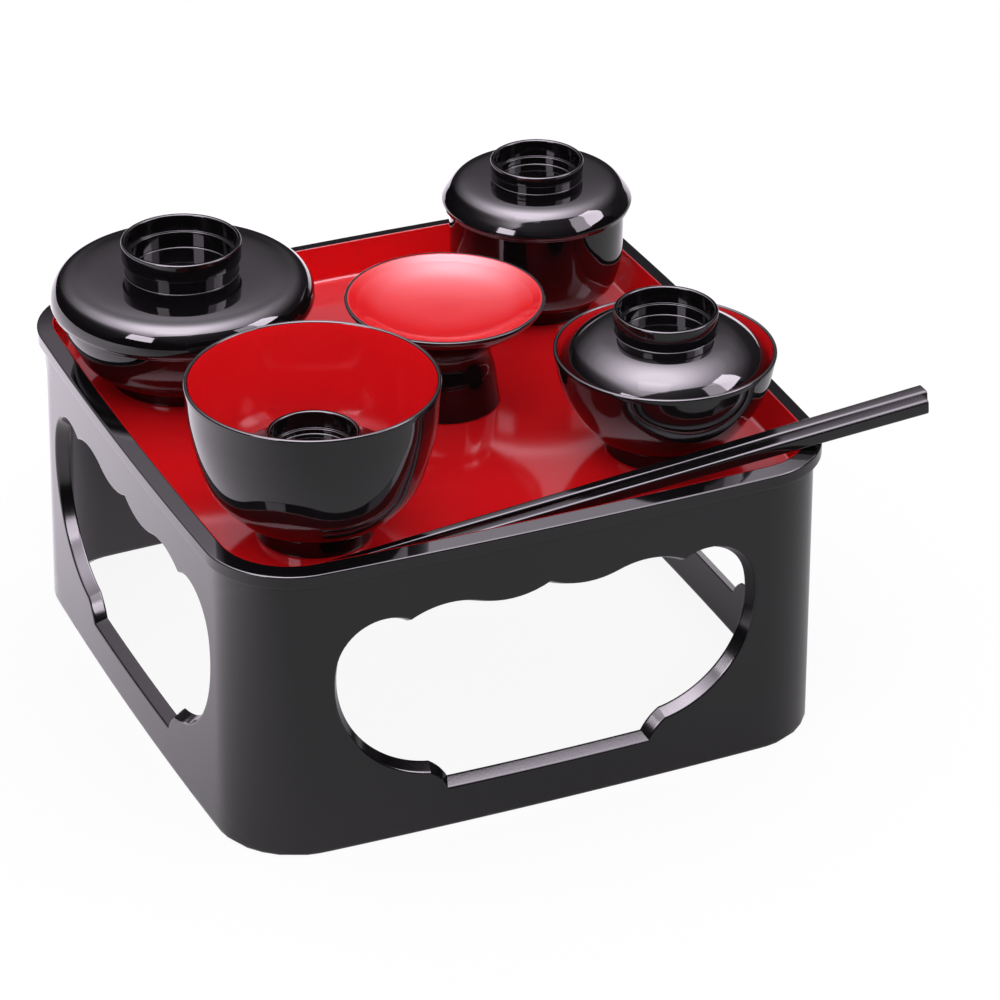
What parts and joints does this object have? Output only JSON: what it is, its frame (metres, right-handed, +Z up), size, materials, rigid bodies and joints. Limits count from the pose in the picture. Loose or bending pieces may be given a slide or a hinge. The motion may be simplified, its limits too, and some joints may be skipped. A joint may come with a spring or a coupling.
{
  "type": "footed meal tray set",
  "caption": "Square red and black lacquer meal tray on a pierced box stand, set with lidded bowls, a footed dish and chopsticks.",
  "frame": {"origin": "middle of the stand's foot, on the surface that the table stands on", "axes": "+Z up; -Y towards the diner, where the chopsticks lie along the front edge; +X to the diner's right, where the chopsticks' butts reach past the rim"},
  "size_m": [0.2141, 0.1848, 0.1269],
  "materials": {
    "red_lacquer": "polished red lacquer",
    "black_lacquer": "polished black lacquer",
    "black_wood": "lacquered black wood"
  },
  "bodies": {
    "table": {"tray": "red_lacquer", "leg_stand": "black_lacquer"},
    "rice_bowl": {"rice_bowl": "black_lacquer"},
    "rice_bowl_lid": {"rice_bowl_lid": "black_lacquer"},
    "soup_bowl": {"soup_bowl": "black_lacquer"},
    "soup_bowl_lid": {"soup_bowl_lid": "black_lacquer"},
    "flat_bowl": {"flat_bowl": "black_lacquer"},
    "flat_bowl_lid": {"flat_bowl_lid": "black_lacquer"},
    "deep_bowl": {"deep_bowl": "black_lacquer"},
    "deep_bowl_lid": {"deep_bowl_lid": "black_lacquer"},
    "footed_dish": {"footed_dish": "black_lacquer"},
    "chopstick_rear": {"chopstick_rear": "black_wood"},
    "chopstick_front": {"chopstick_front": "black_wood"}
  },
  "joints": [
    {"name": "rice_bowl_lift", "type": "slide", "parent": "table", "child": "rice_bowl", "axis": [0, 0, 1], "range_m": [0, 0.15]},
    {"name": "rice_bowl_lid_lift", "type": "slide", "parent": "rice_bowl", "child": "rice_bowl_lid", "axis": [0, 0, 1], "range_m": [0, 0.08]},
    {"name": "soup_bowl_lift", "type": "slide", "parent": "table", "child": "soup_bowl", "axis": [0, 0, 1], "range_m": [0, 0.15]},
    {"name": "soup_bowl_lid_lift", "type": "slide", "parent": "soup_bowl", "child": "soup_bowl_lid", "axis": [0, 0, 1], "range_m": [0, 0.08]},
    {"name": "flat_bowl_lift", "type": "slide", "parent": "table", "child": "flat_bowl", "axis": [0, 0, 1], "range_m": [0, 0.15]},
    {"name": "flat_bowl_lid_lift", "type": "slide", "parent": "flat_bowl", "child": "flat_bowl_lid", "axis": [0, 0, 1], "range_m": [0, 0.08]},
    {"name": "deep_bowl_lift", "type": "slide", "parent": "table", "child": "deep_bowl", "axis": [0, 0, 1], "range_m": [0, 0.15]},
    {"name": "deep_bowl_lid_lift", "type": "slide", "parent": "deep_bowl", "child": "deep_bowl_lid", "axis": [0, 0, 1], "range_m": [0, 0.08]},
    {"name": "footed_dish_lift", "type": "slide", "parent": "table", "child": "footed_dish", "axis": [0, 0, 1], "range_m": [0, 0.15]},
    {"name": "chopstick_rear_draw", "type": "slide", "parent": "table", "child": "chopstick_rear", "axis": [0.9975, 0, 0.0702], "range_m": [0, 0.12]},
    {"name": "chopstick_front_draw", "type": "slide", "parent": "table", "child": "chopstick_front", "axis": [0.9975, 0, 0.0711], "range_m": [0, 0.12]}
  ]
}
